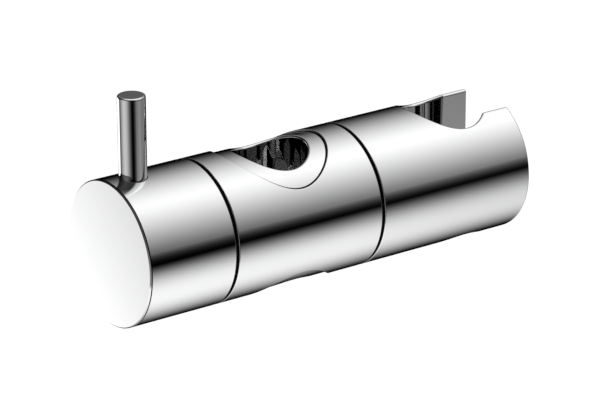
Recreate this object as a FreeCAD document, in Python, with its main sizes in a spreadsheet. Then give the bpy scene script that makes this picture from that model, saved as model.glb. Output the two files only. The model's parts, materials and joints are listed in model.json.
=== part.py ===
# Shower rail slider with a pin lever and a conical handset holder, in millimetres.
# X runs along the barrel from the lever end to the open end of the holder, Z is the rail's axis, up,
# and the origin is where the barrel's axis crosses the rail's axis.

import FreeCAD, Part

import math
import os
import re

import Sketcher

# Driving sizes: name, value, meaning.
SIZES = (
    ("barrel_dia", 42.5, "outer diameter of all three barrel sections"),
    ("knob_len", 28.5, "length of the knob with its end cap"),
    ("section_gap", 1.1, "groove between two barrel sections"),
    ("edge_bevel", 0.25, "bevel of the section ends and of the groove edges"),
    ("face_gap", 0.1, "play between a glide washer and the section that turns on it"),
    ("shaft_play", 0.05, "radial play of a running journal"),
    ("loose_play", 0.3, "radial play between pieces that never touch"),
    ("thread_play", 0.1, "radial play between a thread and its hole"),
    ("press_play", 0.05, "radial play of a pressed or pushed-in piece"),
    ("rail_dia", 22.0, "diameter of the rail that the slider fits"),
    ("rail_play", 0.1, "radial play of the rail in its bush"),
    ("bush_wall", 5.45, "wall of the rail bush"),
    ("bush_recess", 0.6, "depth of the bush's ends below the barrel's surface"),
    ("chamber_depth", 5.75, "depth of the clamp chamber in the body's left end"),
    ("chamber_wall", 2.4, "wall between the clamp chamber and the bush's hole"),
    ("thrust_width", 3.1, "width of the thrust washer's ring"),
    ("thrust_play", 0.7, "radial play of the thrust washer and the drive sleeve's flange"),
    ("thrust_thick", 0.8, "thickness of the thrust washer"),
    ("sleeve_flange", 2.0, "thickness of the drive sleeve's flange"),
    ("sleeve_wall", 2.7, "wall of the drive sleeve round the plunger's stem"),
    ("sleeve_web", 1.2, "wall between the drive sleeve's two bores"),
    ("gland_shoulder", 0.9, "how far the gland's flats stand out past the chamber"),
    ("gland_head", 4.0, "height of the gland's hexagon"),
    ("hub_gap", 1.25, "distance from the gland to the knob's hub"),
    ("drive_hex", 10.0, "width across the flats that drive the sleeve"),
    ("drive_hex_len", 8.0, "length of the drive hexagon"),
    ("sleeve_ring", 1.5, "section of the O-ring on the drive sleeve"),
    ("stem_dia", 8.0, "threaded stem of the clamp plunger"),
    ("stem_gap", 0.4, "play between the stem's end and the bottom of the sleeve's bore"),
    ("plunger_dia", 12.0, "head of the clamp plunger"),
    ("plunger_flats", 9.0, "width across the flats of the plunger's head"),
    ("plunger_head", 4.4, "length of the plunger's head"),
    ("pad_play", 0.15, "distance from the released pad to the wall of the bore"),
    ("peg_dia", 4.0, "peg of the clamp pad"),
    ("peg_len", 2.5, "length of the pad's peg"),
    ("knob_wall", 3.25, "wall of the hollow knob"),
    ("hub_dia", 20.0, "hub of the knob"),
    ("hub_web", 7.0, "thickness of the web behind the knob's hollow"),
    ("access_play", 1.0, "room round the knob washer in the hole that it goes in through"),
    ("cap_thick", 1.6, "disc of the end cap"),
    ("cap_bevel", 0.6, "bevel of the end cap's rim"),
    ("skirt_inset", 4.25, "distance from the barrel's surface to the end cap's skirt"),
    ("skirt_wall", 2.0, "wall of the end cap's skirt"),
    ("skirt_len", 3.5, "length of the end cap's skirt"),
    ("pin_dia", 8.0, "diameter of the lever pin"),
    ("stud_wall", 0.85, "distance from the end cap's skirt to the pin's threaded end"),
    ("pin_height", 24.0, "height of the pin above the barrel"),
    ("pin_round", 0.6, "rounding of the pin's top"),
    ("pin_seat_deep", 2.0, "depth of the pin's seat below the top of the barrel"),
    ("stud_dia", 5.0, "threaded end of the pin"),
    ("stud_len", 6.5, "length of the pin's threaded end"),
    ("small_screw", 5.0, "thread of the knob screw"),
    ("small_head_dia", 8.5, "head of the knob screw"),
    ("small_head", 5.0, "height of the knob screw's head"),
    ("small_grip", 6.0, "length of the knob screw's thread in the sleeve"),
    ("small_key", 4.0, "hexagon socket of the knob screw"),
    ("washer_thick", 1.0, "thickness of the flat washers"),
    ("washer_dia", 13.0, "outside of the knob washer"),
    ("spindle_thread", 16.0, "thread of the pivot spindle"),
    ("spindle_from_bush", 0.4, "distance from the pivot spindle to the bush's hole"),
    ("spindle_flange_dia", 26.0, "flange of the pivot spindle"),
    ("spindle_flange", 2.4, "thickness of that flange"),
    ("journal_dia", 18.0, "journal that the holder turns on"),
    ("pilot_dia", 9.9, "pilot at the end of the journal"),
    ("pilot_reach", 1.3, "length of the pilot past the holder's shoulder"),
    ("journal_ring", 2.0, "section of the O-ring on the journal"),
    ("groove_depth", 1.25, "depth of the groove between two sections, down to the glide washer"),
    ("collar_wall", 1.0, "wall of the collar that centres the knob"),
    ("collar_len", 2.0, "length of that collar"),
    ("shoulder_from", 12.15, "distance from the holder's end to its shoulder"),
    ("shoulder_thick", 2.0, "thickness of the holder's shoulder"),
    ("shoulder_gap", 0.2, "play between the journal's end and the shoulder"),
    ("well_dia", 16.0, "screw well in the wall of the socket"),
    ("spring_thick", 0.6, "thickness of the disc spring"),
    ("pivot_screw", 6.0, "thread of the holder screw"),
    ("pivot_head_dia", 10.5, "head of the holder screw"),
    ("pivot_head", 4.0, "height of the holder screw's head"),
    ("pivot_grip", 13.5, "length of the holder screw's thread in the spindle"),
    ("pivot_key", 5.0, "hexagon socket of the holder screw"),
    ("key_depth", 2.2, "depth of both hexagon sockets"),
    ("plug_gap", 0.9, "room between the holder screw and its plug"),
    ("plug_thick", 2.8, "thickness of the plug at its middle"),
    ("journal_wall", 3.0, "wall between the journal and the hollow in the holder's end"),
    ("holder_wall", 3.5, "wall outside that hollow"),
    ("hollow_depth", 9.5, "depth of that hollow"),
    ("socket_from_end", 17.1, "distance from the holder's open end to the socket's axis"),
    ("socket_top_dia", 24.8, "socket at the height of the barrel's top"),
    ("socket_low_dia", 22.8, "socket at the height of the barrel's bottom"),
    ("slot_width", 18.4, "width of the hose slot"),
    ("rim_bevel", 0.75, "bevel of the socket's and the slot's rims"),
    ("end_bevel", 0.5, "bevel of the holder's open end"),
    ("overrun", 2.0, "how far a cutting shape passes the surface that it cuts"),
)

VALUE = {name: value for name, value, meaning in SIZES}

# Diameters and places along X, each worked out from the sizes above.
BUSH_DIA = "(rail_dia + 2 * rail_play + 2 * bush_wall)"
BUSH_HOLE = f"({BUSH_DIA} + 2 * press_play)"
THRUST_DIA = "(plunger_dia + 2 * loose_play + 2 * thrust_width)"
CHAMBER_DIA = f"({THRUST_DIA} + 2 * thrust_play)"
GLAND_HEX = f"({CHAMBER_DIA} + 2 * gland_shoulder)"
SLEEVE_DIA = "(stem_dia + 2 * loose_play + 2 * sleeve_wall)"
ACCESS_DIA = "(washer_dia + 2 * access_play)"
SKIRT_DIA = "(barrel_dia - 2 * skirt_inset)"
GLIDE_DIA = "(barrel_dia - 2 * groove_depth)"
BODY_RIGHT = f"({BUSH_HOLE} / 2 + chamber_wall + chamber_depth)"
BODY_LEN = f"(2 * {BODY_RIGHT})"
KNOB_RIGHT = f"(-{BODY_RIGHT} - section_gap)"
KNOB_LEFT = f"({KNOB_RIGHT} - knob_len + cap_thick)"
PIN_AXIS = f"({KNOB_LEFT} + skirt_len + stud_wall + stud_dia / 2)"
CHAMBER_FLOOR = f"(-{BODY_RIGHT} + chamber_depth)"
FLANGE_RIGHT = f"({CHAMBER_FLOOR} - thrust_thick)"
HUB_RIGHT = f"(-{BODY_RIGHT} - gland_head - hub_gap)"
SLEEVE_LEFT = f"({HUB_RIGHT} - drive_hex_len)"
SLEEVE_BORE = f"({SLEEVE_LEFT} + small_grip + stem_gap + sleeve_web)"
HUB_LEFT = f"({SLEEVE_LEFT} - stem_gap)"
HEAD_LEFT = f"({CHAMBER_FLOOR} + loose_play)"
PAD_LEFT = f"({HEAD_LEFT} + plunger_head)"
SPINDLE_LEFT = f"({BUSH_HOLE} / 2 + spindle_from_bush)"
HOLDER_LEFT = f"({BODY_RIGHT} + section_gap)"
SHOULDER_RIGHT = f"({HOLDER_LEFT} + shoulder_from + shoulder_thick)"
PILOT_RIGHT = f"({SHOULDER_RIGHT} + pilot_reach)"
SCREW_HEAD = f"({PILOT_RIGHT} + washer_thick)"
PLUG_LEFT = f"({SCREW_HEAD} + pivot_head + plug_gap)"
SOCKET_AXIS = f"({PLUG_LEFT} + plug_thick + (socket_top_dia + socket_low_dia) / 4)"
HOLDER_LEN = f"({SOCKET_AXIS} + socket_from_end - {HOLDER_LEFT})"

ALONG_X = FreeCAD.Rotation(FreeCAD.Vector(0, 1, 0), 90)
NEAR = 0.001
RIM_SAMPLES = 5
RING_STEP = 45

doc = FreeCAD.newDocument("shower_rail_slider")
sheet = doc.addObject("Spreadsheet::Sheet", "sizes")


def fill_sheet():
    """Write every driving size and its meaning into the sheet."""
    for row, (name, value, meaning) in enumerate(SIZES, start=1):
        sheet.set(f"A{row}", str(value))
        sheet.set(f"B{row}", meaning)
        sheet.setAlias(f"A{row}", name)
    doc.recompute()


def formula(text):
    """Point each size's name in a formula at its cell."""
    return re.sub(r"[a-z_]+", lambda word: f"sizes.{word[0]}" if word[0] in VALUE else word[0], text)


def tie(item, prop, text):
    """Bind a property of an object to a formula of the sizes."""
    item.setExpression(prop, formula(text))


def rod(name, dia, length, start="0", along_x=True):
    """Cylinder about the X axis or the Z axis, from the given start."""
    item = doc.addObject("Part::Cylinder", name)
    tie(item, "Radius", f"({dia}) / 2")
    tie(item, "Height", length)
    if along_x:
        item.Placement.Rotation = ALONG_X
    tie(item, "Placement.Base.x" if along_x else "Placement.Base.z", start)
    return item


def block(name, length, width, height, start):
    """Box centred on the X axis, from the given start along X."""
    item = doc.addObject("Part::Box", name)
    tie(item, "Length", length)
    tie(item, "Width", width)
    tie(item, "Height", height)
    tie(item, "Placement.Base.x", start)
    tie(item, "Placement.Base.y", f"-({width}) / 2")
    tie(item, "Placement.Base.z", f"-({height}) / 2")
    return item


def hexagon(name, across_flats, length, start):
    """Six-sided prism about the X axis."""
    item = doc.addObject("Part::Prism", name)
    item.Polygon = 6
    tie(item, "Circumradius", f"({across_flats}) / sqrt(3)")
    tie(item, "Height", length)
    item.Placement.Rotation = ALONG_X
    tie(item, "Placement.Base.x", start)
    return item


def joined(name, *shapes):
    """One solid of several."""
    item = doc.addObject("Part::MultiFuse", name)
    item.Shapes = list(shapes)
    item.Refine = True
    return item


def cut(name, base, *tools):
    """A shape less one or more tools."""
    item = doc.addObject("Part::Cut", name)
    item.Base = base
    item.Tool = tools[0] if len(tools) == 1 else joined(f"{name}_tools", *tools)
    item.Refine = True
    return item


def shared(name, *shapes):
    """What several shapes have in common."""
    item = doc.addObject("Part::MultiCommon", name)
    item.Shapes = list(shapes)
    item.Refine = True
    return item


def dressed(kind, name, base, size, chosen):
    """Fillet or chamfer the chosen edges of a shape; the size is given by its name."""
    doc.recompute()
    item = doc.addObject(kind, name)
    item.Base = base
    limit = VALUE[size]
    edges = enumerate(base.Shape.Edges, start=1)
    item.Edges = [(number, limit, limit) for number, edge in edges if chosen(edge)]
    return item


def near(number, other):
    """True where two lengths agree."""
    return abs(number - other) < NEAR


def turned(name, outline, start):
    """A turned piece: its outline, as (along X, radius) formulas, is swept about the X axis."""
    body = doc.addObject("PartDesign::Body", name)
    plane = next(item for item in body.Origin.OriginFeatures if item.Role == "XY_Plane")
    sketch = body.newObject("Sketcher::SketchObject", f"{name}_outline")
    sketch.AttachmentSupport = (plane, [""])
    sketch.MapMode = "FlatFace"
    count = len(outline)
    corners = [FreeCAD.Vector(step, step * step, 0) for step in range(1, count + 1)]
    for step in range(count):
        sketch.addGeometry(Part.LineSegment(corners[step], corners[(step + 1) % count]))
    for step in range(count):
        sketch.addConstraint(Sketcher.Constraint("Coincident", step, 2, (step + 1) % count, 1))
    for step, (along, radius) in enumerate(outline):
        pin_corner(sketch, step, "DistanceX", -2, along, corners[step].x)
        pin_corner(sketch, step, "DistanceY", -1, radius, corners[step].y)
    turn = body.newObject("PartDesign::Revolution", f"{name}_turned")
    turn.Profile = sketch
    turn.ReferenceAxis = (sketch, ["H_Axis"])
    turn.Angle = 360
    tie(body, "Placement.Base.x", start)
    return body


def pin_corner(sketch, step, kind, axis, text, rough):
    """Tie one coordinate of an outline's corner to a formula, or to the axis where it is nought."""
    if text == "0":
        sketch.addConstraint(Sketcher.Constraint("PointOnObject", step, 1, axis))
        return
    number = sketch.addConstraint(Sketcher.Constraint(kind, -1, 1, step, 1, rough))
    tie(sketch, f"Constraints[{number}]", text)


def washer(name, inner_dia, outer_dia, thick, start):
    """Flat ring about the X axis."""
    outline = (
        ("0", f"({inner_dia}) / 2"),
        ("0", f"({outer_dia}) / 2"),
        (thick, f"({outer_dia}) / 2"),
        (thick, f"({inner_dia}) / 2"),
    )
    return turned(name, outline, start)


def ring(name, section, inner_dia, middle):
    """O-ring about the X axis, its round section drawn with eight sides."""
    centre = f"({inner_dia} + {section}) / 2"
    outline = [
        (f"({section}) / 2 * cos({angle} deg)", f"{centre} + ({section}) / 2 * sin({angle} deg)")
        for angle in range(0, 360, RING_STEP)
    ]
    return turned(name, outline, middle)


def plunger_way(name, play, length, start):
    """Round shape with two flats that the plunger's head has, wider by the play all round."""
    across = f"plunger_dia + 2 * ({play})"
    flats = f"plunger_flats + 2 * ({play})"
    stem = rod(f"{name}_round", across, length, start)
    return shared(name, stem, block(f"{name}_flats", length, across, flats, start))


def body_barrel():
    """Middle section: clamp chamber on the left, spindle seat on the right, cross bore for the bush."""
    outline = (
        ("chamber_depth", "0"),
        ("chamber_depth", f"{CHAMBER_DIA} / 2"),
        ("0", f"{CHAMBER_DIA} / 2"),
        ("0", "barrel_dia / 2 - edge_bevel"),
        ("edge_bevel", "barrel_dia / 2"),
        (f"{BODY_LEN} - edge_bevel", "barrel_dia / 2"),
        (BODY_LEN, "barrel_dia / 2 - edge_bevel"),
        (BODY_LEN, "spindle_flange_dia / 2 + press_play"),
        (f"{BODY_LEN} - spindle_flange", "spindle_flange_dia / 2 + press_play"),
        (f"{BODY_LEN} - spindle_flange", "spindle_thread / 2 + thread_play"),
        (BODY_RIGHT, "spindle_thread / 2 + thread_play"),
        (BODY_RIGHT, "0"),
    )
    barrel = turned("body_turned", outline, f"-{BODY_RIGHT}")
    bore = rod("body_cross_bore", BUSH_HOLE, "barrel_dia + 2 * overrun", "-barrel_dia / 2 - overrun",
               along_x=False)
    way = plunger_way("body_plunger_way", "loose_play", BODY_RIGHT, f"-{BODY_RIGHT}")
    return cut("body_barrel", barrel, bore, way)


def rail_bush():
    """Ring round the rail, its ends shaped like the barrel but set below its surface."""
    outside = rod("bush_outside", BUSH_DIA, "barrel_dia", "-barrel_dia / 2", along_x=False)
    ends = rod("bush_ends", "barrel_dia - 2 * bush_recess", BODY_LEN, f"-{BODY_RIGHT}")
    bore = rod("bush_bore", "rail_dia + 2 * rail_play", "barrel_dia + 2 * overrun",
               "-barrel_dia / 2 - overrun", along_x=False)
    way = plunger_way("bush_plunger_way", "loose_play", f"{BUSH_DIA} / 2 + overrun",
                      f"-{BUSH_DIA} / 2 - overrun")
    return cut("rail_bush", shared("bush_blank", outside, ends), bore, way)


def clamp_gland():
    """Gland with a hexagon head; its thread keeps the drive sleeve in the chamber."""
    left = f"(-{BODY_RIGHT} - gland_head)"
    reach = "gland_head + chamber_depth - thrust_thick - sleeve_flange - face_gap"
    head = hexagon("gland_hexagon", GLAND_HEX, "gland_head", left)
    thread = rod("gland_thread", f"{CHAMBER_DIA} - 2 * thread_play", reach, left)
    bore = rod("gland_bore", f"{SLEEVE_DIA} + 2 * shaft_play", f"{reach} + 2 * overrun", f"{left} - overrun")
    return cut("clamp_gland", joined("gland_blank", head, thread), bore)


def thrust_washer():
    """Washer between the drive sleeve's flange and the floor of the chamber."""
    return washer("thrust_washer", "plunger_dia + 2 * loose_play", THRUST_DIA, "thrust_thick", FLANGE_RIGHT)


def drive_sleeve():
    """Hexagon end, journal with an O-ring groove, flange, and a threaded bore for the plunger's stem."""
    total = f"({FLANGE_RIGHT} - {SLEEVE_LEFT})"
    groove = f"(({total} - sleeve_flange + drive_hex_len) / 2)"
    outline = (
        ("drive_hex_len", "0"),
        ("drive_hex_len", f"{SLEEVE_DIA} / 2"),
        (f"{groove} - sleeve_ring / 2 - press_play", f"{SLEEVE_DIA} / 2"),
        (f"{groove} - sleeve_ring / 2 - press_play", f"{SLEEVE_DIA} / 2 - sleeve_ring"),
        (f"{groove} + sleeve_ring / 2 + press_play", f"{SLEEVE_DIA} / 2 - sleeve_ring"),
        (f"{groove} + sleeve_ring / 2 + press_play", f"{SLEEVE_DIA} / 2"),
        (f"{total} - sleeve_flange", f"{SLEEVE_DIA} / 2"),
        (f"{total} - sleeve_flange", f"{THRUST_DIA} / 2"),
        (total, f"{THRUST_DIA} / 2"),
        (total, "stem_dia / 2 + loose_play"),
        (f"{SLEEVE_BORE} - {SLEEVE_LEFT}", "stem_dia / 2 + loose_play"),
        (f"{SLEEVE_BORE} - {SLEEVE_LEFT}", "0"),
    )
    journal = turned("sleeve_journal", outline, SLEEVE_LEFT)
    end = hexagon("sleeve_hexagon", "drive_hex", "drive_hex_len", SLEEVE_LEFT)
    hole = rod("sleeve_screw_hole", "small_screw + 2 * thread_play", "small_grip + overrun + stem_gap",
               f"{SLEEVE_LEFT} - overrun")
    return cut("drive_sleeve", joined("sleeve_blank", journal, end), hole)


def sleeve_o_ring():
    """O-ring in the groove of the drive sleeve."""
    middle = f"({FLANGE_RIGHT} - sleeve_flange + {HUB_RIGHT}) / 2"
    return ring("sleeve_o_ring", "sleeve_ring", f"{SLEEVE_DIA} - 2 * sleeve_ring", middle)


def clamp_plunger():
    """Threaded stem with a flattened head, drilled for the pad's peg."""
    stem_left = f"({SLEEVE_BORE} + stem_gap)"
    stem = rod("plunger_stem", "stem_dia", f"{HEAD_LEFT} - {stem_left}", stem_left)
    head = plunger_way("plunger_head_form", "0", "plunger_head", HEAD_LEFT)
    hole = rod("plunger_peg_hole", "peg_dia + 2 * press_play", "peg_len + overrun", f"{PAD_LEFT} - peg_len")
    return cut("clamp_plunger", joined("plunger_blank", stem, head), hole)


def clamp_pad():
    """Pad with a hollow face that matches the rail and a peg that holds it in the plunger."""
    face = plunger_way("pad_form", "0", f"-({PAD_LEFT}) - rail_dia / 4", PAD_LEFT)
    rail = rod("pad_rail_form", "rail_dia + 2 * rail_play + 2 * pad_play", "barrel_dia", "-barrel_dia / 2",
               along_x=False)
    peg = rod("pad_peg", "peg_dia", "peg_len", f"{PAD_LEFT} - peg_len")
    return joined("clamp_pad", cut("pad_faced", face, rail), peg)


def knob_glide_washer():
    """Glide washer at the bottom of the left groove, with a collar that centres the knob."""
    collar = "barrel_dia / 2 - knob_wall - shaft_play"
    outline = (
        ("0", f"{collar} - collar_wall"),
        ("0", collar),
        ("collar_len + face_gap", collar),
        ("collar_len + face_gap", f"{GLIDE_DIA} / 2"),
        ("collar_len + section_gap", f"{GLIDE_DIA} / 2"),
        ("collar_len + section_gap", f"{collar} - collar_wall"),
    )
    return turned("knob_glide_washer", outline, f"{KNOB_RIGHT} - collar_len")


def lever_knob():
    """Hollow knob: hub with a hexagon hole, seat for the cap's skirt, seat and tapped hole for the pin."""
    length = "knob_len - cap_thick"
    hub_left = f"({HUB_LEFT} - {KNOB_LEFT})"
    hub_right = f"({HUB_RIGHT} - {KNOB_LEFT})"
    skirt = f"{SKIRT_DIA} / 2 + press_play"
    outline = (
        ("0", skirt),
        ("0", "barrel_dia / 2"),
        (f"{length} - edge_bevel", "barrel_dia / 2"),
        (length, "barrel_dia / 2 - edge_bevel"),
        (length, "barrel_dia / 2 - knob_wall"),
        (f"{hub_left} + hub_web - drive_hex_len / 2", "barrel_dia / 2 - knob_wall"),
        (f"{hub_left} + hub_web - drive_hex_len / 2", "hub_dia / 2"),
        (hub_right, "hub_dia / 2"),
        (hub_right, "0"),
        (hub_left, "0"),
        (hub_left, f"{ACCESS_DIA} / 2"),
        ("skirt_len + press_play", f"{ACCESS_DIA} / 2"),
        ("skirt_len + press_play", skirt),
    )
    blank = turned("knob_turned", outline, KNOB_LEFT)
    socket = hexagon("knob_hexagon", "drive_hex + 2 * press_play", "drive_hex_len + 2 * overrun",
                     f"{HUB_LEFT} - overrun")
    seat = rod("knob_pin_seat", "pin_dia + 2 * press_play", "pin_seat_deep + overrun",
               "barrel_dia / 2 - pin_seat_deep", along_x=False)
    stud = rod("knob_stud_hole", "stud_dia + 2 * thread_play", "stud_len + press_play + overrun",
               "barrel_dia / 2 - pin_seat_deep - stud_len - press_play", along_x=False)
    for hole in (seat, stud):
        tie(hole, "Placement.Base.x", PIN_AXIS)
    return cut("lever_knob", blank, socket, seat, stud)


def lever_pin():
    """Upright pin with a threaded end that screws into the knob from above."""
    seat = "barrel_dia / 2 - pin_seat_deep"
    handle = rod("pin_handle", "pin_dia", "pin_height + pin_seat_deep", seat, along_x=False)
    stud = rod("pin_stud", "stud_dia", "stud_len + overrun / 2", f"{seat} - stud_len", along_x=False)
    for item in (handle, stud):
        tie(item, "Placement.Base.x", PIN_AXIS)
    top = VALUE["barrel_dia"] / 2 + VALUE["pin_height"]
    return dressed("Part::Fillet", "lever_pin", joined("pin_blank", handle, stud), "pin_round",
                   lambda edge: all(near(point.z, top) for point in edge.discretize(RIM_SAMPLES)))


def knob_washer():
    """Washer under the knob screw's head."""
    return washer("knob_washer", "small_screw + 2 * thread_play", "washer_dia", "washer_thick",
                  f"{HUB_LEFT} - washer_thick")


def socket_screw(name, head_dia, head, key, thread, reach, face, leftwards):
    """Screw about the X axis with a hexagon socket in its head; face is where its head bears."""
    head_start = f"({face} - ({head}))" if leftwards else face
    key_start = head_start if leftwards else f"({face} + ({head}) - key_depth)"
    shank_start = f"({face} - overrun / 2)" if leftwards else f"({face} - ({reach}))"
    blank = joined(f"{name}_blank", rod(f"{name}_head", head_dia, head, head_start),
                   rod(f"{name}_shank", thread, f"({reach}) + overrun / 2", shank_start))
    return cut(name, blank, hexagon(f"{name}_key", key, "key_depth", key_start))


def knob_screw():
    """Screw that holds the knob on the drive sleeve."""
    return socket_screw("knob_screw", "small_head_dia", "small_head", "small_key", "small_screw",
                        "washer_thick + stem_gap + small_grip", f"{HUB_LEFT} - washer_thick", True)


def knob_end_cap():
    """Full-width disc with a bevelled rim and a skirt that is pressed into the knob."""
    outline = (
        ("0", "0"),
        ("0", "barrel_dia / 2 - cap_bevel"),
        ("cap_bevel", "barrel_dia / 2"),
        ("cap_thick", "barrel_dia / 2"),
        ("cap_thick", f"{SKIRT_DIA} / 2"),
        ("cap_thick + skirt_len", f"{SKIRT_DIA} / 2"),
        ("cap_thick + skirt_len", f"{SKIRT_DIA} / 2 - skirt_wall"),
        ("cap_thick", f"{SKIRT_DIA} / 2 - skirt_wall"),
        ("cap_thick", "0"),
    )
    return turned("knob_end_cap", outline, f"{KNOB_LEFT} - cap_thick")


def pivot_spindle():
    """Thread and flange that seat in the body, journal with an O-ring groove, pilot, tapped hole."""
    flange_right = f"({BODY_RIGHT} - {SPINDLE_LEFT})"
    journal_right = f"({flange_right} + section_gap + shoulder_from - shoulder_gap)"
    groove = f"(({flange_right} + section_gap + {journal_right}) / 2)"
    pilot_right = f"({PILOT_RIGHT} - {SPINDLE_LEFT})"
    outline = (
        ("0", "0"),
        ("0", "spindle_thread / 2"),
        (f"{flange_right} - spindle_flange", "spindle_thread / 2"),
        (f"{flange_right} - spindle_flange", "spindle_flange_dia / 2"),
        (flange_right, "spindle_flange_dia / 2"),
        (flange_right, "journal_dia / 2"),
        (f"{groove} - journal_ring / 2 - press_play", "journal_dia / 2"),
        (f"{groove} - journal_ring / 2 - press_play", "journal_dia / 2 - journal_ring"),
        (f"{groove} + journal_ring / 2 + press_play", "journal_dia / 2 - journal_ring"),
        (f"{groove} + journal_ring / 2 + press_play", "journal_dia / 2"),
        (journal_right, "journal_dia / 2"),
        (journal_right, "pilot_dia / 2"),
        (pilot_right, "pilot_dia / 2"),
        (pilot_right, "pivot_screw / 2 + thread_play"),
        (f"{pilot_right} - pivot_grip - stem_gap", "pivot_screw / 2 + thread_play"),
        (f"{pilot_right} - pivot_grip - stem_gap", "0"),
    )
    return turned("pivot_spindle", outline, SPINDLE_LEFT)


def spindle_o_ring():
    """O-ring in the groove of the journal, which keeps the holder stiff to turn."""
    middle = f"{HOLDER_LEFT} + (shoulder_from - shoulder_gap) / 2"
    return ring("spindle_o_ring", "journal_ring", "journal_dia - 2 * journal_ring", middle)


def holder_glide_washer():
    """Glide washer at the bottom of the right groove."""
    return washer("holder_glide_washer", "journal_dia + 2 * shaft_play", GLIDE_DIA, "section_gap - face_gap",
                  BODY_RIGHT)


def socket_form(name):
    """Cone of the handset socket, past the barrel at both ends."""
    cone = doc.addObject("Part::Cone", name)
    slope = "((socket_top_dia - socket_low_dia) / 2 / barrel_dia * overrun)"
    tie(cone, "Radius1", f"socket_low_dia / 2 - {slope}")
    tie(cone, "Radius2", f"socket_top_dia / 2 + {slope}")
    tie(cone, "Height", "barrel_dia + 2 * overrun")
    tie(cone, "Placement.Base.x", SOCKET_AXIS)
    tie(cone, "Placement.Base.z", "-barrel_dia / 2 - overrun")
    return cone


def handset_holder():
    """End barrel: journal bore, shoulder and screw well along X, conical socket and hose slot across."""
    outline = (
        ("0", "journal_dia / 2 + shaft_play"),
        ("0", "journal_dia / 2 + journal_wall"),
        ("hollow_depth", "journal_dia / 2 + journal_wall"),
        ("hollow_depth", "barrel_dia / 2 - holder_wall"),
        ("0", "barrel_dia / 2 - holder_wall"),
        ("0", "barrel_dia / 2 - edge_bevel"),
        ("edge_bevel", "barrel_dia / 2"),
        (f"{HOLDER_LEN} - end_bevel", "barrel_dia / 2"),
        (HOLDER_LEN, "barrel_dia / 2 - end_bevel"),
        (HOLDER_LEN, "0"),
        (f"{HOLDER_LEN} - socket_from_end", "0"),
        (f"{HOLDER_LEN} - socket_from_end", "well_dia / 2"),
        ("shoulder_from + shoulder_thick", "well_dia / 2"),
        ("shoulder_from + shoulder_thick", "pilot_dia / 2 + thread_play"),
        ("shoulder_from", "pilot_dia / 2 + thread_play"),
        ("shoulder_from", "journal_dia / 2 + shaft_play"),
    )
    blank = turned("holder_turned", outline, HOLDER_LEFT)
    slot = block("holder_slot", "socket_from_end + overrun", "slot_width", "barrel_dia + 2 * overrun",
                 SOCKET_AXIS)
    opened = cut("holder_opened", blank, joined("holder_openings", socket_form("holder_socket"), slot))
    return dressed("Part::Chamfer", "handset_holder", opened, "rim_bevel", is_holder_rim)


def is_holder_rim(edge):
    """True for the edges where the holder's outside meets the socket and the slot."""
    points = edge.discretize(RIM_SAMPLES)
    on_barrel = all(near(math.hypot(point.y, point.z), VALUE["barrel_dia"] / 2) for point in points)
    across_axis = all(near(point.x, points[0].x) for point in points)
    seam = all(near(point.z, 0) for point in points)
    return on_barrel and not across_axis and not seam


def disc_spring():
    """Conical spring between the holder's shoulder and the stop washer."""
    inner = "pilot_dia / 2 + thread_play"
    outer = "well_dia / 2 - loose_play"
    outline = (
        ("0", inner),
        ("spring_thick", inner),
        ("pilot_reach", outer),
        ("pilot_reach - spring_thick", outer),
    )
    return turned("disc_spring", outline, SHOULDER_RIGHT)


def stop_washer():
    """Washer that the holder screw holds against the pilot."""
    return washer("stop_washer", "pivot_screw + 2 * thread_play", "well_dia - 2 * loose_play", "washer_thick",
                  PILOT_RIGHT)


def holder_screw():
    """Screw that keeps the holder on its spindle."""
    return socket_screw("holder_screw", "pivot_head_dia", "pivot_head", "pivot_key", "pivot_screw",
                        "washer_thick + pivot_grip", SCREW_HEAD, False)


def screw_plug():
    """Plug over the holder screw, its face following the wall of the socket."""
    blank = rod("plug_blank", "well_dia - 2 * press_play", f"{SOCKET_AXIS} - {PLUG_LEFT}", PLUG_LEFT)
    return cut("screw_plug", blank, socket_form("plug_socket"))


def check(item):
    """Stop if an object failed or has no sound shape."""
    if any(word in item.State for word in ("Invalid", "Error")):
        raise RuntimeError(f"{item.Name} failed: {item.State}")
    if hasattr(item, "Shape") and item.TypeId != "Sketcher::SketchObject":
        if item.Shape.isNull() or not item.Shape.isValid():
            raise RuntimeError(f"{item.Name} has no sound shape")


def main():
    fill_sheet()
    makers = (
        body_barrel, rail_bush, clamp_gland, thrust_washer, drive_sleeve, sleeve_o_ring, clamp_plunger,
        clamp_pad, knob_glide_washer, lever_knob, lever_pin, knob_washer, knob_screw, knob_end_cap,
        pivot_spindle, spindle_o_ring, holder_glide_washer, handset_holder, disc_spring, stop_washer,
        holder_screw, screw_plug,
    )
    nodes = {}
    for make in makers:
        item = make()
        item.Label = make.__name__
        nodes[make.__name__] = item
    doc.recompute()
    for item in doc.Objects:
        if not item.TypeId.startswith("App::"):
            check(item)
    os.makedirs("parts", exist_ok=True)
    for name, item in nodes.items():
        item.Shape.exportStep(f"parts/{name}.step")
        box = item.Shape.BoundBox
        print(f"{name}: {len(item.Shape.Solids)} solid, {item.Shape.Volume / 1000:.3f} cm3, "
              f"x {box.XMin:.2f} to {box.XMax:.2f}, z {box.ZMin:.2f} to {box.ZMax:.2f}")


main()
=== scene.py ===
# Looks for a chromed shower rail slider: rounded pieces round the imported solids, finishes, studio, floor
# and camera. Blender works in metres; sizes and mesh points are in millimetres here. X runs along the
# barrel, Z up the rail bore.

import json
import math

import bpy
import numpy as np
from mathutils import Matrix, Vector
from mathutils.geometry import delaunay_2d_cdt


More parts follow.
